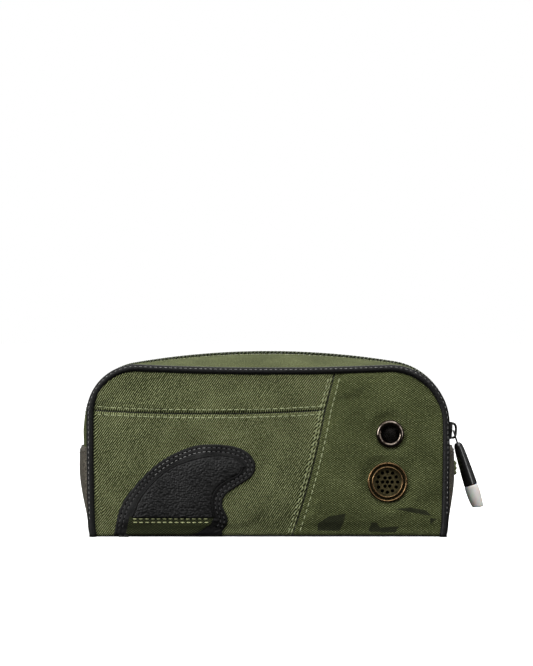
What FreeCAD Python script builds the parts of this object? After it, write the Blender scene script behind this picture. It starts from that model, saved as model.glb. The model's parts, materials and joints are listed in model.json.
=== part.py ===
"""A zipped wash pouch of sewn canvas, foam and lining, with leather trim, two metal
eyelets, a zip slider that runs round one shoulder and a pull that swings on it.

X runs along the pouch, Y from its front to its back and Z up. The origin is the middle
of the base, on the surface that the pouch stands on. Every size is in millimetres."""

import FreeCAD, Part
import math
import os

Vector = FreeCAD.Vector

# ---------------------------------------------------------------- driving dimensions
pouch_depth = 85.0  # front seam to back seam
pouch_length = 220.4  # side seam to side seam
seam_crown_height = 102.7  # top seam at its lowest point, in the middle
seam_crown_radius = -1700.0  # negative: the top seam sags
seam_shoulder_left = 28.7
seam_shoulder_right = 34.7
ridge_rise = 10.8  # the zip's line, half way between the seams, over the top seam
ridge_out_left = 5.3  # and beyond the side seams
ridge_out_right = 3.8
ridge_crown_radius = 500.0
ridge_shoulder_left = 37.0
ridge_shoulder_right = 40.0
foot_in = 1.4  # the base is this much shorter at each end than the seams
end_swell_left = 1.5  # how far the end walls swell out below the zip
end_swell_right = 0.9
end_bulge_share = 0.37  # where they swell most, as a share of the top seam's height
end_wall_share = 0.526  # above this share the end walls are straight

cloth_thickness = 1.0
foam_thickness = 1.6
lining_thickness = 0.4
leather_thickness = 1.2
piping_radius = 2.3
piping_cord_radius = 1.3
piping_lift = 0.2  # its ends stop this far above the ground
binding_width = 9.0
binding_thickness = 0.9

boot_share = 0.54  # height of the leather end panels, as a share of the top seam's
boot_foot = 12.0  # how far in from each end of the base they are cut from
boot_overlap = 5.0  # how far they lap over the zip strips
zip_end_drop = 9.0  # both ends of the zip, below the top of the end panels
tape_half_width = 12.0
tape_thickness = 0.5
coil_half_width = 2.7
coil_proud = 0.9  # the coil stands this far above the cloth
chain_gap = 1.1  # between the two halves of the zip
strip_gap = 3.3  # from the middle of the zip to the edge of the cloth
inner_slot = 8.0  # from the middle of the zip to the edge of foam and lining

pocket_seam_drop = 24.9  # the level seam, below the top seam
slant_foot_share = 0.1343  # where the slanting seam meets the base, of half the length
slant_run = 20.5  # how far it leans over, up to the level seam
slant_bow = 1.6  # how far it bows from straight

slider_angle = -4.6  # where the slider rests, from level with the shoulder's centre
slider_half_angle = 7.3
slider_half_width = 4.6
slider_plate = 0.9
slider_top_gap = 1.2  # the top plate over the coil
slider_tape_gap = 1.1  # the bottom plate under the tape
slider_under_half_width = 2.8
slider_web = 0.5
slider_web_angle = 3.0
slider_flange = 0.7
slider_flange_gap = 1.2
bridge_wire_radius = 0.7
bridge_half_length = 4.4
bridge_height = 3.2  # from the top plate to the outside of the wire
bridge_bend = 1.5
bridge_sink = 0.6  # how far the wire's feet go into the plate

pull_lean = 17.8  # from hanging straight down
pull_cord_radius = 0.5
pull_cord_gap = 0.3  # to the wire that it goes round
pull_cord_taper = 0.2  # each side of the loop draws in by this
grip_start = 8.0  # from the pivot, along the pull
grip_length = 28.3
grip_top_radius = 1.95
grip_shoulder_radius = 2.7
grip_end_radius = 4.1
grip_neck = 1.6
tip_length = 14.8
tip_start_radius = 4.35
tip_middle_radius = 4.5
tip_waist_radius = 4.0
tip_end_radius = 3.4
tip_middle_share = 0.35  # where it is thickest and where its waist is, along it
tip_waist_share = 0.9
tip_inset = 3.0  # how far the tip goes up inside the grip
tip_stub_radius = 3.1

eyelet_in = 34.7  # from the right side seam
eyelet_over_vent = 29.8
eyelet_radius = 8.6
eyelet_hole_radius = 5.75
eyelet_rim_height = 2.0
eyelet_mesh_thickness = 0.5
vent_in = 36.3  # from the right side seam
vent_z = 34.0
vent_radius = 12.4
vent_bead_radius = 8.75
vent_rim_height = 1.6
vent_disc_thickness = 0.8
vent_hole_radius = 1.1
vent_ring_counts = (1, 6, 12)
vent_ring_radii = (0.0, 2.95, 6.3)
ring_barrel = 0.9  # wall of the tube that goes through the panel
ring_crest_share = 0.33  # shares of a ring's width and height that round its section
ring_crest_inner_share = 0.2
ring_outer_wall_share = 0.4
ring_inner_wall_share = 0.5
washer_width = 3.2
washer_thickness = 0.7

fin_thickness = 1.0
fin_pad_thickness = 1.0
fin_hem_height = 12.6
fin_hem_thickness = 0.6
fin_hem_start = 23.7  # both ends of the hem, from the left side seam
fin_hem_end = 80.7
fin_foot = 1.0  # height of its foot above the ground

tab_height = 9.7
tab_under_boot_top = 19.7  # its lower end, below the top of the end panel
tab_half_width = 6.0
tab_proud = 2.4
fit_gap = 0.1  # round the barrels that go through the panel
past = 1.0  # cutters reach this far past what they cut

# ---------------------------------------------------------------- worked-out sizes
half_depth = pouch_depth / 2
seam_half = pouch_length / 2
foot_half_width = seam_half - foot_in
ridge_left = seam_half + ridge_out_left
ridge_right = seam_half + ridge_out_right
ridge_crown_height = seam_crown_height + ridge_rise
end_bulge_left = ridge_left + end_swell_left
end_bulge_right = ridge_right + end_swell_right
end_bulge_height = end_bulge_share * seam_crown_height
end_wall_height = end_wall_share * seam_crown_height
boot_height = boot_share * seam_crown_height
zip_end_height = boot_height - zip_end_drop
tab_low = boot_height - tab_under_boot_top
pocket_seam_height = seam_crown_height - pocket_seam_drop
slant_foot = slant_foot_share * seam_half
vent_x = seam_half - vent_in
eyelet_x = seam_half - eyelet_in
eyelet_z = vent_z + eyelet_over_vent
lining_depth = cloth_thickness + foam_thickness + lining_thickness
front_y = -half_depth
far = 2 * pouch_depth + pouch_length  # larger than anything here


class Outline:
    """A closed outline of the pouch, seen from the front: a level base, swelling end
    walls, two round shoulders and a gently curved top, each tangent to the next."""

    def __init__(self, left, right, shoulders, crown_height, crown_radius, bulges):
        self.halves = (left, right)
        self.shoulders = shoulders
        self.crown_height = crown_height
        self.crown_radius = crown_radius
        self.bulges = bulges
        self.centres = tuple(self.shoulder_centre(side) for side in (0, 1))

    def shoulder_centre(self, side):
        sign = (-1, 1)[side]
        x = sign * (self.halves[side] - self.shoulders[side])
        reach = self.crown_radius - self.shoulders[side]
        drop = math.copysign(math.sqrt(reach**2 - x**2), self.crown_radius)
        return x, self.crown_height - self.crown_radius + drop

    def crown_point(self, side, inset):
        """Where a shoulder runs into the top."""
        x, z = self.centres[side]
        apex = self.crown_height - self.crown_radius
        along = math.hypot(x, z - apex) * math.copysign(1, self.crown_radius)
        radius = self.shoulders[side] - inset
        return x + radius * x / along, z + radius * (z - apex) / along

    def edges(self, y, inset):
        """The outline's eight edges, from the left foot over the top to the base."""

        def place(point):
            return Vector(point[0], y, point[1])

        def bend(start, middle, end):
            return Part.Arc(place(start), place(middle), place(end)).toShape()

        def run(start, end):
            return Part.LineSegment(place(start), place(end)).toShape()

        walls, shoulders = [], []
        for side, sign in ((0, -1), (1, 1)):
            half = self.halves[side] - inset
            x, z = self.centres[side]
            radius = self.shoulders[side] - inset
            foot = (sign * (foot_half_width - inset), inset)
            swell = (sign * (self.bulges[side] - inset), end_bulge_height)
            wall_top = (sign * half, end_wall_height)
            spring = (sign * half, z)
            crown = self.crown_point(side, inset)
            start = math.atan2(0, sign)
            end = math.atan2(crown[1] - z, crown[0] - x)
            middle = (start + end) / 2
            over = (x + radius * math.cos(middle), z + radius * math.sin(middle))
            walls.append((foot, swell, wall_top, spring))
            shoulders.append((spring, over, crown))
        (foot_l, swell_l, top_l, spring_l), (foot_r, swell_r, top_r, spring_r) = walls
        crown_l, crown_r = shoulders[0][2], shoulders[1][2]
        return [
            bend(foot_l, swell_l, top_l),
            run(top_l, spring_l),
            bend(*shoulders[0]),
            bend(crown_l, (0, self.crown_height - inset), crown_r),
            bend(*reversed(shoulders[1])),
            run(spring_r, top_r),
            bend(top_r, swell_r, foot_r),
            run(foot_r, foot_l),
        ]

    def wire(self, y, inset=0.0):
        return Part.Wire(self.edges(y, inset))


def straight_bulge(half):
    """Half width at end_bulge_height of a wall that only leans in towards the base."""
    return half - (half - foot_half_width) * (1 - end_bulge_height / end_wall_height) ** 2


seam = Outline(
    seam_half,
    seam_half,
    (seam_shoulder_left, seam_shoulder_right),
    seam_crown_height,
    seam_crown_radius,
    (straight_bulge(seam_half), straight_bulge(seam_half)),
)
ridge = Outline(
    ridge_left,
    ridge_right,
    (ridge_shoulder_left, ridge_shoulder_right),
    ridge_crown_height,
    ridge_crown_radius,
    (end_bulge_left, end_bulge_right),
)


def box(low, high):
    size = [b - a for a, b in zip(low, high)]
    return Part.makeBox(*size, Vector(*low))


def block(inset):
    """The pouch as one solid, drawn in by inset on every side."""
    depth = half_depth - inset
    solids = []
    for y in (-depth, depth):
        pair = [seam.wire(y, inset), ridge.wire(0.0, inset)]
        solids.append(Part.makeLoft(pair, True, True))
    return solids[0].fuse(solids[1])


def layer(outer, inner):
    """The shell between two insets, as the blocks that bound it and its wall."""
    return block(outer).cut(block(inner))


def front_slab(inset):
    return box((-far, -far, -far), (far, -half_depth + inset, far))


def back_slab(inset):
    return box((-far, half_depth - inset, -far), (far, far, far))


def split_layer(outer, inner, slot, slot_foot):
    """Front, back, base and the two zip strips of one layer of the pouch."""
    shell = layer(outer, inner)
    depth = half_depth - inner
    front = shell.common(front_slab(inner))
    back = shell.common(back_slab(inner))
    base = shell.common(box((-far, -depth, -far), (far, depth, inner)))
    zip_slot = box((-far, -slot, slot_foot), (far, slot, far))
    strips = []
    for low, high in ((-depth, 0.0), (0.0, depth)):
        half = shell.common(box((-far, low, inner), (far, high, far)))
        strips.append(half.cut(zip_slot))
    return front, back, base, strips[0], strips[1]


def prism(points, y_low, y_high):
    """An upright outline of straight lines in the XZ plane, thickened along Y."""
    corners = [Vector(x, y_low, z) for x, z in points]
    face = Part.Face(Part.makePolygon(corners + corners[:1]))
    return face.extrude(Vector(0, y_high - y_low, 0))


def curved_prism(edges, y_low, y_high):
    face = Part.Face(Part.Wire(edges))
    face.translate(Vector(0, y_low, 0))
    return face.extrude(Vector(0, y_high - y_low, 0))


def turned(profile, x, y, z, direction):
    """A profile of (radius, height) points turned about an axis through (x, y, z)."""
    corners = [Vector(radius, 0, height) for radius, height in profile]
    face = Part.Face(Part.makePolygon(corners + corners[:1]))
    solid = face.revolve(Vector(0, 0, 0), Vector(0, 0, 1), 360)
    solid.Placement = FreeCAD.Placement(
        Vector(x, y, z), FreeCAD.Rotation(Vector(0, 0, 1), direction)
    )
    return solid


def slanting_seam_x(z):
    """The slanting seam's place at a height: bowed to the right below the level seam,
    and straight above it."""
    share = (z - fin_foot) / (pocket_seam_height - fin_foot)
    straight = slant_foot + slant_run * share
    return straight + slant_bow * 4 * max(0.0, share * (1 - share))


def slanting_cutter():
    """Everything on the right of the slanting seam."""
    heights = [n * pocket_seam_height / 4 for n in range(-1, 7)]
    points = [(slanting_seam_x(z), z) for z in heights]
    right = [(far, heights[-1]), (far, heights[0])]
    return prism(points + right, -far, far)


def through_holes():
    """The two round holes that the metal rings go through."""
    holes = []
    for x, z, radius in ring_places():
        start = Vector(x, -half_depth - leather_thickness, z)
        depth = lining_depth + 2 * leather_thickness
        holes.append(Part.makeCylinder(radius + fit_gap, depth, start, Vector(0, 1, 0)))
    return holes[0].fuse(holes[1])


def ring_places():
    """Centre and barrel radius of the eyelet and of the vent."""
    return (
        (eyelet_x, eyelet_z, eyelet_hole_radius + ring_barrel),
        (vent_x, vent_z, vent_bead_radius + ring_barrel),
    )


def boots():
    """The two leather end panels: a skin over the end walls with the wall's own
    thickness below the zip strips."""
    depth = half_depth - cloth_thickness
    skin = layer(-leather_thickness, 0.0)
    wall = layer(0.0, cloth_thickness)
    panels = []
    inner_end = foot_half_width - boot_foot
    for low, high in ((-far, -inner_end), (inner_end, far)):
        outer = skin.common(box((low, -half_depth, 0), (high, half_depth, boot_height)))
        lap = boot_height - boot_overlap
        inner = wall.common(box((low, -depth, cloth_thickness), (high, depth, lap)))
        panels.append(outer.fuse(inner).removeSplitter())
    return panels


def piping(y, blocked):
    """Cover and cord of the piping, along one seam from foot to foot. The cover wraps
    the seam's edge, and the cord fills the half of it that stands off the panel."""
    path = Part.Wire(seam.edges(y, 0.0)[:7])
    start = path.Edges[0].Vertexes[0].Point
    tangent = path.Edges[0].tangentAt(path.Edges[0].FirstParameter)
    tubes = []
    for radius in (piping_radius, piping_cord_radius):
        circle = Part.Wire([Part.Circle(start, tangent, radius).toShape()])
        tubes.append(path.makePipeShell([circle], True, False))
    cover, cord = tubes
    floor = box((-far, -far, -far), (far, far, piping_lift))
    cover = cover.cut(cord).cut(blocked).cut(floor)
    within = box((-far, -half_depth, -far), (far, half_depth, far))
    return cover, cord.cut(within).cut(floor)


def binding(side, inner):
    """The tape that binds a raw seam inside the pouch, L-shaped in section."""
    shell = layer(inner, inner + binding_thickness)
    window = curved_prism(seam.edges(0.0, inner + binding_width), -far, far)
    depth = half_depth - inner
    low, high = sorted((side * depth, side * (depth - binding_width)))
    band = shell.common(box((-far, low, inner + binding_thickness), (far, high, far)))
    return band.cut(window)


def zip_chain():
    """The two tapes and the two halves of the coil."""
    under = layer(cloth_thickness, cloth_thickness + tape_thickness)
    bead = layer(-coil_proud, cloth_thickness)
    gap = chain_gap / 2
    tapes, coils = [], []
    for side in (-1, 1):
        low, high = sorted((side * gap, side * tape_half_width))
        tapes.append(under.common(box((-far, low, zip_end_height), (far, high, far))))
        low, high = sorted((side * gap, side * coil_half_width))
        coils.append(bead.common(box((-far, low, boot_height + 1), (far, high, far))))
    return tapes, coils


def sector(inner, outer, low_angle, high_angle, half_width):
    """Part of a ring about the right shoulder's centre, level with the zip's line."""
    x, z = ridge.centres[1]

    def place(radius, angle):
        turn = math.radians(angle)
        return Vector(x + radius * math.cos(turn), -half_width, z + radius * math.sin(turn))

    middle = (low_angle + high_angle) / 2
    a, b = place(inner, low_angle), place(inner, high_angle)
    c, d = place(outer, high_angle), place(outer, low_angle)
    edges = [
        Part.Arc(a, place(inner, middle), b).toShape(),
        Part.LineSegment(b, c).toShape(),
        Part.Arc(c, place(outer, middle), d).toShape(),
        Part.LineSegment(d, a).toShape(),
    ]
    return Part.Face(Part.Wire(edges)).extrude(Vector(0, 2 * half_width, 0))


plate_low = ridge_shoulder_right + coil_proud + slider_top_gap
plate_high = plate_low + slider_plate


def slider_body():
    """Top and bottom plates joined by a web that runs between the two coils."""
    low, high = slider_angle - slider_half_angle, slider_angle + slider_half_angle
    top = sector(plate_low, plate_high, low, high, slider_half_width)
    flange_low = ridge_shoulder_right + slider_flange_gap
    skirt = sector(flange_low, plate_high, low, high, slider_half_width)
    middle = slider_half_width - slider_flange
    skirt = skirt.cut(
        sector(flange_low - past, plate_high + past, low - past, high + past, middle)
    )
    under = ridge_shoulder_right - cloth_thickness - tape_thickness - slider_tape_gap
    bottom = sector(under - slider_plate, under, low, high, slider_under_half_width)
    web_low, web_high = slider_angle - slider_web_angle, slider_angle + slider_web_angle
    web = sector(under - slider_plate / 2, plate_high, web_low, web_high, slider_web / 2)
    return top.fuse([skirt, bottom, web]).removeSplitter()


def local_frame():
    """Placement of things built on the slider: X along the zip, Z away from it."""
    x, z = ridge.centres[1]
    turn = FreeCAD.Rotation(Vector(0, 1, 0), 90 - slider_angle)
    turn = turn.multiply(FreeCAD.Rotation(Vector(0, 0, 1), 180))
    return FreeCAD.Placement(Vector(x, 0, z), turn)


def rounded_tube(points, bends, radius):
    """A round bar along straight runs in the XZ plane joined by tangent arcs."""
    edges = []
    here = Vector(*points[0])
    for corner, bend in zip(points[1:-1], bends):
        corner = Vector(*corner)
        after = Vector(*points[points.index(tuple(corner)) + 1])
        back = (here - corner).normalize()
        ahead = (after - corner).normalize()
        half_turn = back.getAngle(ahead) / 2
        reach = bend / math.tan(half_turn)
        start, end = corner + back * reach, corner + ahead * reach
        centre = corner + (back + ahead).normalize() * (bend / math.sin(half_turn))
        middle = centre + (corner - centre).normalize() * bend
        edges.append(Part.LineSegment(here, start).toShape())
        edges.append(Part.Arc(start, middle, end).toShape())
        here = end
    edges.append(Part.LineSegment(here, Vector(*points[-1])).toShape())
    path = Part.Wire(edges)
    circle = Part.Circle(Vector(*points[0]), edges[0].tangentAt(0), radius).toShape()
    return path.makePipeShell([Part.Wire([circle])], True, False)


def slider_bridge(body):
    """The wire arch on the slider that the pull hangs from."""
    top = plate_high + bridge_height - bridge_wire_radius
    foot = plate_high - bridge_sink
    points = [
        (-bridge_half_length, 0.0, foot),
        (-bridge_half_length, 0.0, top),
        (bridge_half_length, 0.0, top),
        (bridge_half_length, 0.0, foot),
    ]
    wire = rounded_tube(points, (bridge_bend, bridge_bend), bridge_wire_radius)
    wire.Placement = local_frame()
    return wire.cut(body)


pivot_reach = plate_high + bridge_height - 2 * bridge_wire_radius
pivot_reach = pivot_reach - pull_cord_gap - pull_cord_radius


def pull_pivot():
    """The middle of the cord where it goes through the arch."""
    x, z = ridge.centres[1]
    turn = math.radians(slider_angle)
    return Vector(x + pivot_reach * math.cos(turn), 0, z + pivot_reach * math.sin(turn))


def pull_direction():
    lean = math.radians(pull_lean)
    return Vector(math.sin(lean), 0, -math.cos(lean))


def on_pull(solid):
    """Moves a solid built about Z from the origin onto the pull's own line."""
    solid.Placement = FreeCAD.Placement(
        pull_pivot(), FreeCAD.Rotation(Vector(0, 0, 1), pull_direction())
    )
    return solid


def pull_loop():
    """A closed loop of thin cord: round the arch's wire and down into the grip."""
    half = bridge_wire_radius + pull_cord_gap + pull_cord_radius
    length = grip_start + grip_neck
    top_middle = Vector(0, 0, 0)
    left_top, right_top = Vector(0, -half, half), Vector(0, half, half)
    inner = half - pull_cord_taper
    left_low, right_low = Vector(0, -inner, length), Vector(0, inner, length)
    path = Part.Wire([
        Part.LineSegment(left_low, left_top).toShape(),
        Part.Arc(left_top, top_middle, right_top).toShape(),
        Part.LineSegment(right_top, right_low).toShape(),
    ])
    circle = Part.Circle(left_low, left_top - left_low, pull_cord_radius).toShape()
    loop = path.makePipeShell([Part.Wire([circle])], True, False)
    return on_pull(loop)


def pull_grip(loop):
    """The tapered moulded grip, hollow at its end for the tip."""
    end = grip_start + grip_length
    body = [
        (0, grip_start),
        (grip_top_radius, grip_start),
        (grip_shoulder_radius, grip_start + grip_neck),
        (grip_end_radius, end),
        (tip_stub_radius, end),
        (tip_stub_radius, end - tip_inset),
        (0, end - tip_inset),
    ]
    grip = on_pull(turned(body, 0, 0, 0, Vector(0, 0, 1)))
    return grip.cut(loop)


def pull_tip():
    """The soft translucent cap, with its stub up inside the grip."""
    start = grip_start + grip_length
    body = [
        (0, start - tip_inset),
        (tip_stub_radius, start - tip_inset),
        (tip_stub_radius, start),
        (tip_start_radius, start),
        (tip_middle_radius, start + tip_middle_share * tip_length),
        (tip_waist_radius, start + tip_waist_share * tip_length),
        (tip_end_radius, start + tip_length),
        (0, start + tip_length),
    ]
    return on_pull(turned(body, 0, 0, 0, Vector(0, 0, 1)))


def ring_rim(x, z, hole, outer, height):
    """A dome-edged metal ring on the cloth, with a barrel through the panel."""
    barrel = hole + ring_barrel
    depth = -lining_depth - washer_thickness
    width = outer - hole
    profile = [
        (hole, depth),
        (barrel, depth),
        (barrel, 0),
        (outer, 0),
        (outer, height * ring_outer_wall_share),
        (outer - width * ring_crest_share, height),
        (hole + width * ring_crest_inner_share, height),
        (hole, height * ring_inner_wall_share),
    ]
    return turned(profile, x, front_y, z, Vector(0, -1, 0))


def ring_washer(x, z, hole):
    inner = hole + ring_barrel
    profile = [
        (inner, -lining_depth - washer_thickness),
        (inner + washer_width, -lining_depth - washer_thickness),
        (inner + washer_width, -lining_depth),
        (inner, -lining_depth),
    ]
    return turned(profile, x, front_y, z, Vector(0, -1, 0))


def ring_insert(x, z, radius, thickness):
    """A round plate that fills a ring's barrel just below the cloth."""
    start = Vector(x, front_y + cloth_thickness / 2, z)
    return Part.makeCylinder(radius, thickness, start, Vector(0, 1, 0))


def vent_disc():
    plate = ring_insert(vent_x, vent_z, vent_bead_radius, vent_disc_thickness)
    holes = []
    for count, reach in zip(vent_ring_counts, vent_ring_radii):
        for number in range(count):
            turn = 2 * math.pi * number / count
            place = Vector(
                vent_x + reach * math.cos(turn), front_y, vent_z + reach * math.sin(turn)
            )
            holes.append(
                Part.makeCylinder(vent_hole_radius, lining_depth, place, Vector(0, 1, 0))
            )
    return plate.cut(Part.makeCompound(holes))


def fin_edges(points):
    """A closed smooth outline through points, straight along its foot. Each point is
    (distance from the left side seam, height)."""
    spots = [Vector(x - seam_half, 0, z) for x, z in points]
    curve = Part.BSplineCurve()
    curve.interpolate(spots)
    foot = Part.LineSegment(spots[-1], spots[0]).toShape()
    return [curve.toShape(), foot]


fin_outline = (
    (14.4, fin_foot),
    (20.5, 22.0),
    (40.2, 44.3),
    (60.2, 55.2),
    (77.2, 57.6),
    (94.2, 54.6),
    (102.0, 46.5),
    (100.6, 38.2),
    (91.9, 31.9),
    (84.2, 26.5),
    (82.0, 20.0),
    (85.3, 11.2),
    (82.8, 4.7),
    (77.2, fin_foot),
)
fin_pad_outline = (
    (26.4, fin_hem_height),
    (32.2, 25.3),
    (45.4, 39.4),
    (58.6, 46.2),
    (75.2, 50.2),
    (88.2, 49.4),
    (93.9, 44.6),
    (91.9, 39.0),
    (84.2, 35.0),
    (77.6, 29.3),
    (75.3, 22.0),
    (76.4, fin_hem_height),
)


def fin_parts():
    """The leather fin on the front panel, its raised pad and the cloth hem below it."""
    base_y = front_y - fin_thickness
    base = curved_prism(fin_edges(fin_outline), base_y, front_y)
    pad = curved_prism(fin_edges(fin_pad_outline), base_y - fin_pad_thickness, base_y)
    hem = box(
        (fin_hem_start - seam_half, base_y - fin_hem_thickness, fin_foot),
        (fin_hem_end - seam_half, base_y, fin_hem_height),
    )
    hem = hem.common(curved_prism(fin_edges(fin_outline), -far, 0.0))
    return base, pad, hem.cut(pad)


def side_tab(boot):
    """A short folded tape tab sewn flat on the right end panel."""
    reach = end_bulge_right + leather_thickness + tab_proud
    tab = box(
        (foot_half_width, -tab_half_width, tab_low),
        (reach, tab_half_width, tab_low + tab_height),
    )
    inside = block(-leather_thickness)
    return tab.cut(inside).cut(boot)


def build():
    nodes = {}
    outer = split_layer(0.0, cloth_thickness, strip_gap, zip_end_height)
    foam_inner = cloth_thickness + foam_thickness
    foam = split_layer(cloth_thickness, foam_inner, inner_slot, zip_end_height)
    lining = split_layer(foam_inner, lining_depth, inner_slot, zip_end_height)
    (tape_front, tape_back), coils = zip_chain()
    holes = through_holes()
    left_boot, right_boot = boots()

    front = outer[0].cut(holes)
    slant = slanting_cutter()
    above = box((-far, -far, pocket_seam_height), (far, far, far))
    nodes["front_panel_side"] = front.common(slant)
    twill = front.cut(slant)
    nodes["front_panel_upper"] = twill.common(above)
    nodes["front_panel_lower"] = twill.cut(above)
    nodes["back_panel"] = outer[1]
    nodes["base_panel"] = outer[2]
    lap = boot_height - boot_overlap
    below = box((-far, -far, -far), (far, far, lap))
    nodes["zip_strip_front"] = outer[3].cut(below)
    nodes["zip_strip_back"] = outer[4].cut(below)
    nodes["end_panel_left"] = left_boot
    nodes["end_panel_right"] = right_boot

    nodes["foam_front"] = foam[0].cut(holes)
    nodes["foam_back"] = foam[1]
    nodes["foam_base"] = foam[2]
    nodes["foam_strip_front"] = foam[3].cut(tape_front)
    nodes["foam_strip_back"] = foam[4].cut(tape_back)
    nodes["lining_front"] = lining[0].cut(holes)
    nodes["lining_back"] = lining[1]
    nodes["lining_base"] = lining[2]
    nodes["lining_strip_front"] = lining[3]
    nodes["lining_strip_back"] = lining[4]
    nodes["seam_binding_front"] = binding(-1, lining_depth)
    nodes["seam_binding_back"] = binding(1, lining_depth)

    nodes["zip_tape_front"] = tape_front
    nodes["zip_tape_back"] = tape_back
    nodes["zip_coil_front"] = coils[0]
    nodes["zip_coil_back"] = coils[1]

    blocked = block(0.0).fuse([left_boot, right_boot])
    for name, y in (("front", -half_depth), ("back", half_depth)):
        cover, cord = piping(y, blocked)
        nodes["piping_" + name] = cover
        nodes["piping_cord_" + name] = cord

    base, pad, hem = fin_parts()
    nodes["fin_patch"] = base
    nodes["fin_pad"] = pad
    nodes["fin_hem"] = hem

    nodes["eyelet_rim"] = ring_rim(
        eyelet_x, eyelet_z, eyelet_hole_radius, eyelet_radius, eyelet_rim_height
    )
    nodes["eyelet_mesh"] = ring_insert(
        eyelet_x, eyelet_z, eyelet_hole_radius, eyelet_mesh_thickness
    )
    nodes["eyelet_washer"] = ring_washer(eyelet_x, eyelet_z, eyelet_hole_radius)
    nodes["vent_rim"] = ring_rim(
        vent_x, vent_z, vent_bead_radius, vent_radius, vent_rim_height
    )
    nodes["vent_disc"] = vent_disc()
    nodes["vent_washer"] = ring_washer(vent_x, vent_z, vent_bead_radius)
    nodes["side_tab"] = side_tab(right_boot)

    body = slider_body()
    nodes["slider_body"] = body
    nodes["slider_bridge"] = slider_bridge(body)
    loop = pull_loop()
    nodes["pull_loop"] = loop
    nodes["pull_grip"] = pull_grip(loop)
    nodes["pull_tip"] = pull_tip()
    return nodes


def save(nodes):
    os.makedirs("parts", exist_ok=True)
    for name, shape in nodes.items():
        solids = shape.Solids
        if not solids:
            raise RuntimeError(name + " has no solid")
        whole = solids[0] if len(solids) == 1 else Part.makeCompound(solids)
        whole.exportStep("parts/" + name + ".step")
        size = whole.BoundBox
        print(
            "%-20s %2d solids %9.1f mm3  %6.1f %6.1f %6.1f" % (
                name, len(solids), whole.Volume, size.XLength, size.YLength, size.ZLength
            )
        )


save(build())
x, z = ridge.centres[1]
print("slider turns about x %.4f z %.4f" % (x, z))
print("pull turns about", pull_pivot())
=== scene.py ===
import json
import math
import random

import bmesh
import bpy
from mathutils import Matrix, Vector, noise
from mathutils.bvhtree import BVHTree


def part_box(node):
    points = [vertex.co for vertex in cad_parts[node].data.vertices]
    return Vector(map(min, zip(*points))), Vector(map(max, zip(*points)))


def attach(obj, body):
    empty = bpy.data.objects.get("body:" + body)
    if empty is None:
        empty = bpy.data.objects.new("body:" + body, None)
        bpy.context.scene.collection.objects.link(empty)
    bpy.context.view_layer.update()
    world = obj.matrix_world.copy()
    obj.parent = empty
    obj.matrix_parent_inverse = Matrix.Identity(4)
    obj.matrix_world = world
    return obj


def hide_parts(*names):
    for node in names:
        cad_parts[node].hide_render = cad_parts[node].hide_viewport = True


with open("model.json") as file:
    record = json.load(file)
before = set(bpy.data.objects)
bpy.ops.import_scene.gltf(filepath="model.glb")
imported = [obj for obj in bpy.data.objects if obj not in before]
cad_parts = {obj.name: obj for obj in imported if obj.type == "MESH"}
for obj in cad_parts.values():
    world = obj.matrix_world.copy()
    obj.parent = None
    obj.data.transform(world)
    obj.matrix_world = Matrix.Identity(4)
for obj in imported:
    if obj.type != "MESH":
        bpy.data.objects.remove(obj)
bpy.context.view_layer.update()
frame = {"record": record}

# A zipped wash pouch of olive twill and canvas with black pebbled leather trim. X runs
# along it, Y from front to back, Z up. Shapes are worked out in millimetres and scaled
# to metres as each mesh is made.

MM = 0.001
random.seed(11)

# ---------------------------------------------------------------- sizes, in millimetres
half_depth = -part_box("front_panel_lower")[0][1] / MM
foot_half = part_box("base_panel")[1][0] / MM
foot_radius = 2.5
foot_lift = 0.45  # the base stands off the ground between its corners
end_wall_height = 54.0
end_bulge_height = 38.0
boot_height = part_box("end_panel_left")[1][2] / MM
leather = 1.2
piping_radius = 2.3
strip_gap = 3.3

level_seam_height = 78.5
level_seam_sag = 2.3
seam_gap = 0.22  # half the gap between two panels at a seam
slant_foot, slant_top = 14.8, 35.3
slant_bow = 1.6

eyelet = (75.5, 63.8)
eyelet_hole, eyelet_outer = 5.75, 8.6
vent = (73.9, 34.0)
vent_hole, vent_outer = 8.75, 12.4

joints = {joint["name"]: joint for joint in frame["record"]["behaviour"]["joints"]}
travel_centre = Vector(joints["slider_travel"]["pos_m"]) / MM
pull_pivot = Vector(joints["pull_swing"]["pos_m"]) / MM
pull_lean = math.radians(17.8)
slider_angle = math.radians(-4.6)
ridge_shoulder_right = 40.0


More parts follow.
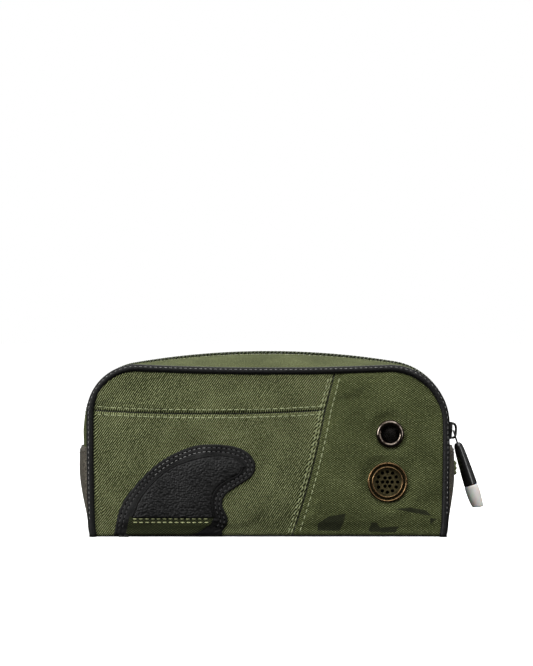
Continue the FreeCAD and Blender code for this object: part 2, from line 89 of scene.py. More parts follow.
class Outline:
    """The pouch's outline at one depth: end walls, two shoulders and a curved top."""

    shares = (0.17, 0.3, 0.69, 0.84)  # shares of the way over where the stretches meet

    def __init__(self, halves, shoulders, crown_height, crown_radius, swells):
        self.halves = halves
        self.shoulders = shoulders
        self.crown_height = crown_height
        self.crown_radius = crown_radius
        self.swells = swells
        self.apex = crown_height - crown_radius
        self.centres = [self.shoulder_centre(side) for side in (0, 1)]

    def shoulder_centre(self, side):
        x = (-1, 1)[side] * (self.halves[side] - self.shoulders[side])
        reach = self.crown_radius - self.shoulders[side]
        drop = math.copysign(math.sqrt(reach**2 - x**2), self.crown_radius)
        return x, self.apex + drop

    def crown_angle(self, side):
        """Direction from a shoulder's centre to where it runs into the top."""
        x, z = self.centres[side]
        turn = math.copysign(1, self.crown_radius)
        return math.atan2((z - self.apex) * turn, x * turn)

    def foot_corner(self, z):
        """How far the corners of the foot are rounded off, just above the ground."""
        return 1.2 * max(0.0, 1 - z / 9) ** 2

    def wall(self, side, z):
        """Half width at a height."""
        half, swell = self.halves[side], self.swells[side]
        if z >= end_wall_height:
            return half
        share = max(0.0, z) / end_wall_height
        lean = half - (half - foot_half) * (1 - share) ** 2
        middle = end_bulge_height / end_wall_height
        spare = swell - (half - (half - foot_half) * (1 - middle) ** 2)
        return lean + spare * math.sin(math.pi * share ** 1.35) - self.foot_corner(z)

    def top(self, x):
        """Height of the outline above a point of the base."""
        side = 0 if x < 0 else 1
        cx, cz = self.centres[side]
        radius = self.shoulders[side]
        if abs(x) > abs(cx + radius * math.cos(self.crown_angle(side))):
            across = min(abs(x - cx), radius)
            return cz + math.sqrt(radius**2 - across**2)
        rise = math.sqrt(self.crown_radius**2 - x**2)
        return self.apex + math.copysign(rise, self.crown_radius)

    def point(self, t, lift=0.0):
        """Place (x, z) and outward direction at a share t of the way over the top."""
        a, b, c, d = self.shares
        for side, at in ((0, t / a), (1, (1 - t) / (1 - d))):
            if at <= 1:
                z = self.centres[side][1] * max(0.0, at)
                sign = (-1, 1)[side]
                return (sign * (self.wall(side, z) + lift), z), (sign, 0.0)
        for side, at in ((0, (t - a) / (b - a)), (1, (d - t) / (d - c))):
            if at <= 1:
                start = math.pi * (1 - side)
                turn = start + (self.crown_angle(side) - start) * at
                way = (math.cos(turn), math.sin(turn))
                reach = self.shoulders[side] + lift
                cx, cz = self.centres[side]
                return (cx + reach * way[0], cz + reach * way[1]), way
        left = self.centres[0][0] + self.shoulders[0] * math.cos(self.crown_angle(0))
        right = self.centres[1][0] + self.shoulders[1] * math.cos(self.crown_angle(1))
        x = left + (right - left) * (t - b) / (c - b)
        slope = math.asin(x / self.crown_radius)
        way = (math.sin(slope), math.cos(slope))
        return (x + way[0] * lift, self.top(x) + way[1] * lift), way


seam = Outline((110.2, 110.2), (28.7, 34.7), 102.7, -1700.0, (110.0, 110.0))
ridge = Outline((115.5, 114.0), (37.0, ridge_shoulder_right), 113.5, 500.0, (117.0, 114.9))


def smoothstep(value):
    value = min(1.0, max(0.0, value))
    return value * value * (3 - 2 * value)


def spread(share, pull):
    """Moves even steps from 0 to 1 towards both ends."""
    return share - pull * math.sin(2 * math.pi * share) / (2 * math.pi)


def through(points, steps):
    """A smooth line through points of the XZ plane."""
    ends = [2 * points[0] - points[1]] + points + [2 * points[-1] - points[-2]]
    line = []
    for n in range(len(points) - 1):
        a, b, c, d = ends[n:n + 4]
        for k in range(steps):
            t = k / steps
            line.append(
                0.5 * (2 * b + (c - a) * t + (2 * a - 5 * b + 4 * c - d) * t**2
                       + (3 * b - a - 3 * c + d) * t**3)
            )
    return line + [points[-1]]


def lengths(line):
    so_far = [0.0]
    for a, b in zip(line, line[1:]):
        so_far.append(so_far[-1] + (b - a).length)
    return so_far


def at_length(line, so_far, want):
    """Point and direction at a distance along a line."""
    want = min(max(want, 0.0), so_far[-1])
    n = 0
    while n < len(so_far) - 2 and so_far[n + 1] < want:
        n += 1
    step = (line[n + 1] - line[n])
    share = (want - so_far[n]) / max(step.length, 1e-9)
    return line[n] + step * share, step.normalized()


# ---------------------------------------------------------------- materials
def linear(code):
    """sRGB hex colour to linear RGBA."""
    values = [int(code[n:n + 2], 16) / 255 for n in (1, 3, 5)]
    return tuple(
        v / 12.92 if v <= 0.04045 else ((v + 0.055) / 1.055) ** 2.4 for v in values
    ) + (1.0,)


def add(tree, kind, inputs=None, **settings):
    """Adds a node, with its settings, its values and the sockets that feed it."""
    made = tree.nodes.new(kind)
    for key, value in settings.items():
        setattr(made, key, value)
    for key, value in (inputs or {}).items():
        if isinstance(value, bpy.types.NodeSocket):
            tree.links.new(value, made.inputs[key])
        else:
            made.inputs[key].default_value = value
    return made


def maths(tree, operation, *values):
    """The result of one sum worked out on numbers or sockets."""
    return add(tree, "ShaderNodeMath", dict(enumerate(values)), operation=operation).outputs[0]


def blotches(tree, lay, scale, detail, **settings):
    """Cloudy noise whose blotches are about 1 / scale millimetres across."""
    values = {"Vector": lay, "Scale": scale, "Detail": detail}
    values.update({key.title(): value for key, value in settings.items()})
    return add(tree, "ShaderNodeTexNoise", values).outputs["Fac"]


def emboss(tree, shader, height, strength, depth):
    """Raises the surface's fine relief, depth metres at most."""
    relief = add(tree, "ShaderNodeBump", {
        "Height": height, "Strength": strength, "Distance": depth,
    })
    tree.links.new(relief.outputs["Normal"], shader.inputs["Normal"])


def vary_roughness(tree, shader, fac, low, high):
    """Roughness that runs from low to high as a pattern goes from 0.3 to 0.7."""
    gloss = add(tree, "ShaderNodeMapRange", {
        "Value": fac, "From Min": 0.3, "From Max": 0.7, "To Min": low, "To Max": high,
    }).outputs["Result"]
    tree.links.new(gloss, shader.inputs["Roughness"])


def paint(tree, shader, fac, stops):
    tree.links.new(ramp(tree, fac, stops), shader.inputs["Base Color"])


def start_material(name):
    material = bpy.data.materials.new(name)
    material.use_nodes = True
    tree = material.node_tree
    return material, tree, tree.nodes["Principled BSDF"]


def set_shader(shader, **values):
    for key, value in values.items():
        shader.inputs[key.replace("_", " ")].default_value = value


def ramp(tree, fac, stops):
    made = add(tree, "ShaderNodeValToRGB", {"Fac": fac})
    slots = made.color_ramp.elements
    for n, (place, code) in enumerate(stops):
        slot = slots[n] if n < 2 else slots.new(place)
        slot.position = place
        slot.color = linear(code)
    return made.outputs["Color"]


def in_millimetres(tree, turn=0.0, flow=None):
    """Pattern coordinates in millimetres: the piece's own place, or its cloth's UV."""
    if flow:
        source = add(tree, "ShaderNodeUVMap", uv_map=flow).outputs["UV"]
    else:
        source = add(tree, "ShaderNodeTexCoord").outputs["Object"]
    return add(tree, "ShaderNodeMapping", {
        "Vector": source, "Rotation": (0, 0, turn), "Scale": (1 / MM, 1 / MM, 1 / MM),
    }).outputs["Vector"]


def band_scale(period):
    """Wave texture scale for a period in the units of its coordinates."""
    return 2 * math.pi / 20 / period


def cloth(name, weave, stops, sheen, bump=0.00022, ink=False):
    """Dyed cotton-and-polyester cloth. weave is twill, canvas, tape or lining."""
    material, tree, shader = start_material(name)
    flat = in_millimetres(tree, flow="weave")
    if weave == "twill":
        # Diagonal ribs rise to the right at 55 degrees, 1.4 mm apart along the level.
        lay = in_millimetres(tree, math.radians(35), "weave")
        rib, cross = 1.15, 0.8
    elif weave == "canvas":
        # One-over, one-under yarns 0.95 by 0.7 mm apart; each wave spans two yarns.
        lay, rib, cross = flat, 1.9, 1.4
    elif weave == "tape":
        lay, rib, cross = flat, 0.9, 0.7
    else:
        lay, rib, cross = flat, 0.6, 0.6
    warp = add(tree, "ShaderNodeTexWave", {
        "Vector": lay, "Scale": band_scale(rib), "Distortion": 0.55, "Detail": 2.0,
        "Detail Scale": 0.5,
    }, wave_type="BANDS", bands_direction="X").outputs["Fac"]
    weft = add(tree, "ShaderNodeTexWave", {
        "Vector": lay, "Scale": band_scale(cross), "Distortion": 1.4, "Detail": 2.0,
        "Detail Scale": 0.6,
    }, wave_type="BANDS", bands_direction="Y").outputs["Fac"]
    if weave == "twill":
        height = add(tree, "ShaderNodeMix", {"Factor": 0.2, "A": warp, "B": weft},
                     data_type="FLOAT").outputs["Result"]
    else:
        height = chequer(tree, warp, weft)
    fibre = blotches(tree, lay, 0.85, 3.0, roughness=0.7)
    mottle = blotches(tree, flat, 0.045, 4.0, roughness=0.55)
    yarn = maths(tree, "MULTIPLY_ADD", height, fibre, 0.0)
    tone = maths(tree, "MULTIPLY_ADD", mottle, 0.22, -0.11)
    shade = maths(tree, "ADD", yarn, tone)
    colour = ramp(tree, shade, stops)
    if ink:
        mask = printed_shapes(tree, flat)
        worn = maths(tree, "MULTIPLY", mask, 0.82)
        colour = add(tree, "ShaderNodeMix", {
            "Factor": worn, "A": colour, "B": linear("#15170d"),
        }, data_type="RGBA").outputs["Result"]
    tree.links.new(colour, shader.inputs["Base Color"])
    emboss(tree, shader, height, 0.8, bump)
    set_shader(shader, Roughness=0.86, Sheen_Weight=sheen, Sheen_Roughness=0.5,
               Sheen_Tint=linear("#98a070"), Specular_IOR_Level=0.12)
    return material


# Corners of the dark shapes printed on the canvas, each a convex patch, in millimetres.
printed_patches = (
    ((78.0, 17.6), (87.0, 18.6), (97.4, 16.6), (100.4, 13.4), (96.0, 13.9)),
    ((30.5, 3.5), (30.8, 8.6), (37.1, 13.0), (49.2, 15.2), (46.8, 9.5), (45.6, 3.5)),
    ((62.0, 3.0), (64.0, 9.2), (67.0, 9.0), (71.5, 2.4)),
    ((69.5, 5.6), (80.8, 6.4), (79.0, 2.6), (70.5, 2.4)),
    ((99.8, 12.0), (103.8, 11.2), (100.2, 7.8)),
)


def chequer(tree, warp, weft):
    """Height of a one-over, one-under weave, from a wave along each set of yarns."""
    swing = [maths(tree, "MULTIPLY_ADD", wave, 2.0, -1.0) for wave in (warp, weft)]
    return maths(tree, "MULTIPLY_ADD", maths(tree, "MULTIPLY", *swing), 0.5, 0.5)


def printed_shapes(tree, flat):
    """Mask of the worn angular shapes printed near the foot of the canvas panel."""
    whole = None
    for corners in printed_patches:
        inside = None
        middle = Vector((sum(x for x, z in corners), sum(z for x, z in corners)))
        middle = middle / len(corners)
        for start, end in zip(corners, corners[1:] + corners[:1]):
            run = Vector(end) - Vector(start)
            out = Vector((run.y, -run.x)).normalized()
            if out.dot(middle - Vector(start)) > 0:
                out = -out
            reach = add(tree, "ShaderNodeVectorMath", {0: flat, 1: (out.x, out.y, 0)},
                        operation="DOT_PRODUCT").outputs["Value"]
            limit = out.dot(Vector(start))
            edge = add(tree, "ShaderNodeMapRange", {
                "Value": reach, "From Min": limit + 0.3, "From Max": limit - 0.3,
            }).outputs["Result"]
            inside = edge if inside is None else maths(tree, "MINIMUM", inside, edge)
        whole = inside if whole is None else maths(tree, "MAXIMUM", whole, inside)
    return whole


def pebbled(name, dark, light, grain, rough, depth=0.00022):
    """Coated split leather, embossed with rounded pebbles about a grain across: black
    with soft grey glints on the pebbles."""
    material, tree, shader = start_material(name)
    lay = in_millimetres(tree)
    pebble = add(tree, "ShaderNodeTexVoronoi", {
        "Vector": lay, "Scale": 1 / grain, "Smoothness": 0.35, "Randomness": 0.9,
    }, feature="SMOOTH_F1").outputs["Distance"]
    fine = blotches(tree, lay, 2.4, 3.0)
    height = maths(tree, "MULTIPLY_ADD", pebble, -1.0, 1.0)
    height = maths(tree, "MULTIPLY_ADD", fine, 0.18, height)
    paint(tree, shader, height, ((0.35, dark), (1.0, light)))
    vary_roughness(tree, shader, fine, rough - 0.06, rough + 0.08)
    emboss(tree, shader, height, 0.9, depth)
    set_shader(shader, Specular_IOR_Level=0.17)
    return material


def plated(name, clean, worn, rough):
    """Plated steel or brass: polished, with a thin uneven patina."""
    material, tree, shader = start_material(name)
    lay = in_millimetres(tree)
    patina = blotches(tree, lay, 0.6, 5.0, roughness=0.65)
    paint(tree, shader, patina, ((0.35, worn), (0.68, clean)))
    vary_roughness(tree, shader, patina, rough + 0.15, rough)
    set_shader(shader, Metallic=1.0)
    return material


def moulded(name, dark, light, rough, grain=0.9, depth=0.00004, **values):
    """Moulded rubber, plastic or foam with a faint surface texture."""
    material, tree, shader = start_material(name)
    lay = in_millimetres(tree)
    cloud = blotches(tree, lay, grain, 4.0)
    paint(tree, shader, cloud, ((0.3, dark), (0.7, light)))
    emboss(tree, shader, cloud, 0.5, depth)
    set_shader(shader, Roughness=rough, **values)
    return material


def thread(name, dark, light):
    """Twisted sewing thread: two tones that wind round it every 0.8 mm."""
    material, tree, shader = start_material(name)
    lay = in_millimetres(tree, math.radians(40))
    twist = add(tree, "ShaderNodeTexWave", {
        "Vector": lay, "Scale": band_scale(0.8), "Distortion": 1.0,
    }, bands_direction="DIAGONAL").outputs["Fac"]
    paint(tree, shader, twist, ((0.1, dark), (0.8, light)))
    set_shader(shader, Roughness=0.6, Sheen_Weight=0.2)
    return material


olive = ((0.05, "#0b0e05"), (0.18, "#22270f"), (0.32, "#525833"), (0.5, "#969b71"))
olive_plain = ((0.04, "#1d220c"), (0.22, "#363b1e"), (0.42, "#5c623d"), (0.65, "#989e74"))
olive_pale = ((0.04, "#444a2c"), (0.22, "#686f4a"), (0.42, "#8d946c"), (0.65, "#b2b892"))
# A darker copy of the plain olive, for the fin's hem: painted shade where the hem turns under
# at the foot.
olive_painted_shade = ((0.04, "#11140a"), (0.22, "#1f2310"), (0.42, "#33381f"), (0.65, "#4c5134"))
twill_cloth = cloth("olive_twill", "twill", olive, 0.03)
canvas_cloth = cloth("olive_canvas", "canvas", olive_plain, 0.03, ink=True)
strip_cloth = cloth("olive_strip_canvas", "canvas", olive_plain, 0.05)
# The fin's hem cloth takes those darker stops: painted shade, not a darker dye.
hem_cloth = cloth("olive_canvas_painted_shade", "canvas", olive_painted_shade, 0.0)
tab_cloth = cloth("pale_olive_tape", "tape", olive_pale, 0.05, 0.0001)
tape_cloth = cloth("woven_zip_tape", "tape", olive_plain, 0.05, 0.0001)
lining_cloth = cloth("black_lining", "lining", ((0.0, "#101010"), (0.5, "#232323")), 0.1)
black_leather = pebbled("pebbled_black_leather", "#050505", "#161616", 1.3, 0.48, 0.0006)
fine_leather = pebbled("fine_black_leather", "#050505", "#111111", 0.8, 0.52, 0.0002)
boot_leather = pebbled("pebbled_charcoal_leather", "#3a362f", "#716c61", 1.1, 0.5)
gunmetal = plated("polished_gunmetal", "#70675f", "#332b24", 0.08)
mesh_wire = plated("blackened_steel_wire", "#2c2a28", "#141312", 0.3)
brass = plated("rubbed_antique_brass", "#755d40", "#3c2f1f", 0.2)
brass_dark = plated("blackened_brass", "#625a40", "#322d1d", 0.42)
black_coat = moulded("black_electrocoat", "#0a0a0a", "#161616", 0.28, Metallic=0.6)
grip_rubber = moulded("satin_black_rubber", "#0c0c0c", "#161616", 0.2)
tip_silicone = moulded("milky_silicone", "#e6e4de", "#f2f0ec", 0.38, 0.25,
                       Subsurface_Weight=0.35, Subsurface_Scale=0.002)
coil_nylon = moulded("green_nylon_coil", "#23290f", "#39411f", 0.4)
cord_plastic = moulded("extruded_black_cord", "#101010", "#1b1b1b", 0.6)
pad_foam = moulded("black_closed_cell_foam", "#0f0f0f", "#1c1c1c", 0.9, 1.6, 0.0002)
pull_cord = thread("black_braided_cord", "#080808", "#1d1d1d")
green_thread = thread("pale_green_thread", "#6c7446", "#a2a97c")
hem_thread = thread("straw_green_thread", "#8b9158", "#cdd199")
grey_thread = thread("grey_thread", "#4c4c4a", "#868683")
black_thread = thread("black_thread", "#0c0c0c", "#262626")
# Matt black marks at the needle holes of thick leather: painted shade in the pits.
stitch_pit_shade = moulded("painted_stitch_pit_shade", "#000000", "#020202", 1.0, Specular_IOR_Level=0.0)


# ---------------------------------------------------------------- making pieces
def new_object(name, bm, material, body, nodes=()):
    """Turns a mesh worked out in millimetres into a finished piece in metres."""
    bmesh.ops.scale(bm, vec=(MM, MM, MM), verts=bm.verts)
    mesh = bpy.data.meshes.new(name)
    bm.to_mesh(mesh)
    bm.free()
    made = bpy.data.objects.new(name, mesh)
    bpy.context.scene.collection.objects.link(made)
    mesh.materials.append(material)
    mesh.shade_smooth()
    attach(made, body)
    if nodes:
        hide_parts(*nodes)
    return made


def sheet(columns, rows, place, outward, pull=(0.0, 0.0), skip=None):
    """A grid bent into shape by place(u, v), with its faces looking outward, its weave
    coordinates in metres, and how firmly each vertex is held while it settles."""
    bm = bmesh.new()
    weave = bm.loops.layers.uv.new("weave")
    hold = bm.verts.layers.float.new("hold")
    bmesh.ops.create_grid(bm, x_segments=columns, y_segments=rows, size=0.5)
    flow = {}
    for vert in bm.verts:
        u = spread(vert.co.x + 0.5, pull[0])
        v = spread(vert.co.y + 0.5, pull[1])
        spot, laid, held = place(u, v)
        vert.co = spot
        vert[hold] = held
        flow[vert] = laid
    for face in bm.faces:
        for loop in face.loops:
            loop[weave].uv = (flow[loop.vert][0] * MM, flow[loop.vert][1] * MM)
    if skip:
        gone = [face for face in bm.faces if skip(face.calc_center_median())]
        bmesh.ops.delete(bm, geom=gone, context="FACES")
        for edge in bm.edges:
            if edge.is_boundary:
                for vert in edge.verts:
                    vert[hold] = 1.0
    bmesh.ops.remove_doubles(bm, verts=bm.verts, dist=0.01)
    bmesh.ops.recalc_face_normals(bm, faces=bm.faces)
    facing = sum(face.normal.dot(Vector(outward)) for face in bm.faces)
    if facing < 0:
        bmesh.ops.reverse_faces(bm, faces=bm.faces)
    return bm


def hold_group(made):
    """The vertices that stay put while the cloth settles, as a vertex group."""
    group = made.vertex_groups.new(name="held")
    values = made.data.attributes["hold"].data
    for vert in made.data.vertices:
        group.add([vert.index], values[vert.index].value, "REPLACE")


def settle(pieces, pressure, cap, frames=18):
    """Swells the sewn cloth panels a little between their seams, as foam-backed cloth
    does. Every point stays within cap millimetres of where it started, and none sinks
    towards the foam."""
    scene = bpy.context.scene
    scene.frame_start, scene.frame_end = 1, frames
    for made in pieces:
        hold_group(made)
        press = made.modifiers.new("settle", "CLOTH")
        rules = press.settings
        rules.quality = 6
        rules.mass = 0.05
        rules.tension_stiffness = rules.compression_stiffness = 20
        rules.shear_stiffness = 8
        rules.bending_stiffness = 1.2
        rules.vertex_group_mass = "held"
        rules.use_pressure = True
        rules.uniform_pressure_force = pressure
        rules.shrink_min = -0.012
        rules.effector_weights.gravity = 0
        press.collision_settings.use_collision = False
    for number in range(1, frames + 1):
        scene.frame_set(number)
    graph = bpy.context.evaluated_depsgraph_get()
    for made in pieces:
        moved = [v.co.copy() for v in made.evaluated_get(graph).data.vertices]
        made.modifiers.remove(made.modifiers["settle"])
        held = made.data.attributes["hold"].data
        for vert, goal in zip(made.data.vertices, moved):
            step = (goal - vert.co) * (1 - held[vert.index].value)
            step -= vert.normal * min(0.0, step.dot(vert.normal))
            limit = cap * MM
            if step.length > limit:
                step *= limit / step.length
            vert.co = vert.co + step
    scene.frame_set(1)


def smooth(made):
    """Adds one level of subdivision, and returns its modifier."""
    finer = made.modifiers.new("finer", "SUBSURF")
    finer.levels = finer.render_levels = 1
    return finer


def thicken(made, thickness):
    """Gives a sheet its thickness, inwards, and smooths it."""
    smooth(made).boundary_smooth = "PRESERVE_CORNERS"
    wall = made.modifiers.new("wall", "SOLIDIFY")
    wall.thickness = thickness * MM
    wall.offset = -1
    wall.use_even_offset = False


def tube(name, points, radius, material, body, nodes=(), sides=3):
    """A round bar along a smooth line, as a mesh with closed ends."""
    curve = bpy.data.curves.new(name, "CURVE")
    curve.dimensions = "3D"
    spline = curve.splines.new("POLY")
    spline.points.add(len(points) - 1)
    for slot_point, spot in zip(spline.points, points):
        slot_point.co = (*(Vector(spot) * MM), 1)
    curve.bevel_depth = radius * MM
    curve.bevel_resolution = sides
    curve.use_fill_caps = True
    holder = bpy.data.objects.new(name + "_line", curve)
    mesh = bpy.data.meshes.new_from_object(holder)
    bpy.data.objects.remove(holder)
    bpy.data.curves.remove(curve)
    bm = bmesh.new()
    bm.from_mesh(mesh)
    bpy.data.meshes.remove(mesh)
    bmesh.ops.remove_doubles(bm, verts=bm.verts, dist=1e-7)
    bmesh.ops.recalc_face_normals(bm, faces=bm.faces)
    bmesh.ops.scale(bm, vec=(1 / MM,) * 3, verts=bm.verts)
    return new_object(name, bm, material, body, nodes)


def turned(profile, steps=64):
    """A closed profile of (radius, height) turned about Z."""
    bm = bmesh.new()
    verts = [bm.verts.new((radius, 0, height)) for radius, height in profile]
    edges = [bm.edges.new(pair) for pair in zip(verts, verts[1:])]
    if profile[0][0] > 0:
        edges.append(bm.edges.new((verts[-1], verts[0])))
    bmesh.ops.spin(bm, geom=verts + edges, cent=(0, 0, 0), axis=(0, 0, 1),
                   angle=2 * math.pi, steps=steps, use_merge=True)
    bmesh.ops.remove_doubles(bm, verts=bm.verts, dist=1e-4)
    bmesh.ops.recalc_face_normals(bm, faces=bm.faces)
    return bm


def frame_matrix(spot, forward, up):
    """Z along forward, X as near up as it can be."""
    z = Vector(forward).normalized()
    y = z.cross(Vector(up)).normalized()
    x = y.cross(z)
    return Matrix.Translation(spot) @ Matrix((x, y, z)).transposed().to_4x4()


def sew(name, stitches, length, width, material, body="pouch"):
    """One small rounded thread loop for each (point, direction, face normal)."""
    bm = bmesh.new()
    for spot, along, normal in stitches:
        matrix = frame_matrix(spot, along, normal)
        matrix = matrix @ Matrix.Diagonal((width * 0.8, width, length, 1))
        bmesh.ops.create_uvsphere(bm, u_segments=6, v_segments=5, radius=0.5,
                                  matrix=matrix)
    return new_object(name, bm, material, body)


# ---------------------------------------------------------------- the front
def slant_x(z):
    share = z / level_seam_height
    bow = slant_bow * 4 * max(0.0, share * (1 - share))
    return slant_foot + (slant_top - slant_foot) * share + bow


def level_z(x):
    """The level seam: it sags a little between the side seam and the slanting one."""
    across = (x + 37.5) / 72.7
    return level_seam_height - level_seam_sag * (1 - across**2)


def edge_distance(x, z):
    side = 0 if x < 0 else 1
    return min(seam.halves[side] - abs(x), seam.top(x) - z)


def ring_hold(x, z):
    """1 on and close round the metal rings, 0 away from them."""
    held = 0.0
    for (cx, cz), outer in ((eyelet, eyelet_outer), (vent, vent_outer)):
        away = math.hypot(x - cx, z - cz) - outer
        held = max(held, 1 - smoothstep((away - 1.5) / 7))
    return held


ring_level = 1.0  # how far the cloth stands out where the metal rings clamp it


def front_shape(x, z):
    """The front's depth before the cloth settles: nearly flat, full in the middle,
    drawn in at the seams and a little at the foot."""
    inward = max(0.0, edge_distance(x, z))
    full = 2.0 * (1 - math.exp(-inward / 16)) * smoothstep((z + 2) / 26)
    full -= 0.4 * (1 - smoothstep(z / 20))
    full += (ring_level - full) * ring_hold(x, z)
    groove = math.exp(-((x - slant_x(z)) / 0.8) ** 2)
    if x < slant_x(z):
        groove = max(groove, math.exp(-((z - level_z(x)) / 0.7) ** 2))
    near = min(abs(x - slant_x(z)), abs(z - level_z(x)) if x < slant_x(z) else 99)
    pucker = 0.3 * noise.noise(Vector((x * 0.33, z * 0.33, 3.1))) * math.exp(-near / 5)
    broad = 0.5 * noise.noise(Vector((x * 0.045, z * 0.06, 0.7))) * smoothstep(inward / 12)
    broad *= 1 - ring_hold(x, z)
    return min(-half_depth + 0.15, -half_depth - full + 1.1 * groove - pucker - broad)


def foot_turn(rise):
    """Height and how far back, for a distance up from the foot's hidden edge."""
    quarter = foot_radius * math.pi / 2
    if rise >= quarter:
        return rise - quarter + foot_radius, 0.0
    turn = (quarter - rise) / foot_radius
    return foot_radius * (1 - math.sin(turn)), foot_radius * (1 - math.cos(turn))


def front_place(x_at, z_low, z_high, side):
    """Place function of a front panel between two heights: x_at(u, z) is its width.
    side is -1 for the front and 1 for the back. The cloth is held at the panel's edges,
    round the rings and near the ground, and the hold eases off away from them."""
    quarter = foot_radius * math.pi / 2

    def place(u, v):
        z = 50.0
        for _ in range(6):
            x = x_at(u, z)
            low, high = z_low(x), z_high(x)
            rise = v * (high - low + quarter - foot_radius) if low == 0 else 0.0
            z, back = foot_turn(rise) if low == 0 else (low + v * (high - low), 0.0)
        y = front_shape(x, z) if side < 0 else back_shape(x, z)
        y = y - side * back
        lift = foot_lift * max(0.0, 1 - (abs(x) / 103) ** 10) * max(0.0, 1 - z / 14)
        edge = min(u, 1 - u, v, 1 - v)
        held = 1 - smoothstep((edge - 0.012) / 0.035)
        held = max(held, ring_hold(x, z)) if side < 0 else held
        held = max(held, 1 - smoothstep((z - 3) / 14))
        return Vector((x, y, z + lift)), (x, z - back), held

    return place


def wall_x(side, z):
    return (-1, 1)[side] * seam.wall(side, z)


def front_panels():
    def lower_x(u, z):
        left = wall_x(0, z)
        return left + (slant_x(z) - seam_gap - left) * u

    def side_x(u, z):
        left, right = slant_x(z) + seam_gap, wall_x(1, z)
        return left + (right - left) * u

    corner = seam.centres[0][0] - math.sqrt(
        seam.shoulders[0] ** 2 - (level_seam_height - seam.centres[0][1]) ** 2
    )

    def upper_x(u, z):
        return corner + (slant_x(z) - seam_gap - corner) * u

    def foot(x):
        return 0.0

    def ring_gap(spot):
        for (cx, cz), hole in ((eyelet, eyelet_hole), (vent, vent_hole)):
            if math.hypot(spot.x - cx, spot.z - cz) < hole + 1.4:
                return True
        return False

    def lower_top(x):
        return min(level_z(x) - seam_gap, seam.top(x))

    def upper_foot(x):
        return min(level_z(x) + seam_gap, seam.top(x) - 0.05)

    made = []
    for name, node, columns, rows, place, cloth_used, skip in (
        ("front_twill_lower", "front_panel_lower", 96, 60,
         front_place(lower_x, foot, lower_top, -1), twill_cloth, None),
        ("front_twill_upper", "front_panel_upper", 96, 24,
         front_place(upper_x, upper_foot, seam.top, -1), twill_cloth, None),
        ("front_canvas", "front_panel_side", 60, 72,
         front_place(side_x, foot, seam.top, -1), canvas_cloth, ring_gap),
    ):
        bm = sheet(columns, rows, place, (0, -1, 0), (0.6, 0.6), skip)
        made.append(new_object(name, bm, cloth_used, "pouch", (node,)))
    return made


def seam_shade_strips():
    """Dark strips behind the front's two seams: painted shade of the crevices, seen in the
    gaps.
    """
    level = [(x, level_z(x)) for x in range(-107, 36, 3)]
    slant = [(slant_x(z), z) for z in range(1, 103, 3)]
    for name, places in (("level_seam_shade_strip", level), ("slant_seam_shade_strip", slant)):
        line = [Vector((x, front_shape(x, z) + 1.1, z)) for x, z in places]
        tube(name, line, 0.85, pull_cord, "pouch", sides=1)


def back_shape(x, z):
    inward = max(0.0, edge_distance(x, z))
    full = 2.0 * (1 - math.exp(-inward / 18)) * smoothstep((z + 2) / 26)
    broad = 0.6 * noise.noise(Vector((x * 0.04, z * 0.05, 9.7))) * smoothstep(inward / 12)
    return half_depth + full + broad


def back_panel():
    def across(u, z):
        left, right = wall_x(0, z), wall_x(1, z)
        return left + (right - left) * u

    place = front_place(across, lambda x: 0.0, seam.top, 1)
    bm = sheet(96, 46, place, (0, 1, 0), (0.5, 0.5))
    return new_object("back_canvas", bm, strip_cloth, "pouch", ("back_panel",))


# ---------------------------------------------------------------- top and ends
def fullness(t):
    """How far the stuffed strips stand out between seam and zip, round the outline."""
    left_wall = 1 - smoothstep((t - 0.13) / 0.08)
    left_corner = math.exp(-((t - 0.25) / 0.04) ** 2)
    return -0.1 + 1.5 * left_wall - 0.3 * left_corner


def arch_shape(t, y, lift=0.0):
    """A point of the top and end walls, t of the way over and y from the middle."""
    (sx, sz), _ = seam.point(t, lift)
    (rx, rz), way = ridge.point(t, lift)
    out = min(1.0, abs(y) / half_depth)
    share = 1 - out**1.3
    between = max(0.0, abs(y) - strip_gap - 1.5) / (half_depth - strip_gap - 1.5)
    puff = fullness(t) * (4 * between * (1 - between)) ** 0.6
    bed = 0.5 * math.exp(-((y / 7) ** 2))
    spot = Vector((sx + (rx - sx) * share, y, sz + (rz - sz) * share))
    return spot + Vector((way[0], 0, way[1])) * (puff - bed), way


def zip_strip(side, name, node):
    start, end, marks = 0.075, 0.925, 200
    away = lengths([arch_shape(start + (end - start) * n / marks, 0)[0]
                    for n in range(marks + 1)])

    def place(u, v):
        t = start + (end - start) * u
        y = side * (half_depth - (half_depth - strip_gap) * v)
        spot, way = arch_shape(t, y)
        ripple = 0.5 * noise.noise(Vector((t * 42, y * 0.05, side * 4.0)))
        ripple *= smoothstep(v * 4) * smoothstep((1 - v) * 4)
        spot += Vector((way[0], 0, way[1])) * ripple
        edge = min(u, 1 - u, v, 1 - v)
        held = 1.0 if edge < 0.02 or v > 0.78 else 0.0
        mark = min(int(u * marks), marks - 1)
        run = away[mark] + (away[mark + 1] - away[mark]) * (u * marks - mark)
        return spot, (run, y), held

    bm = sheet(150, 16, place, (0, 0, 1), (0.0, 0.3))
    return new_object(name, bm, strip_cloth, "pouch", (node,))


boot_fullness = (2.5, 1.8)
boot_rise = (62.0, 34.0)  # height at which they reach it


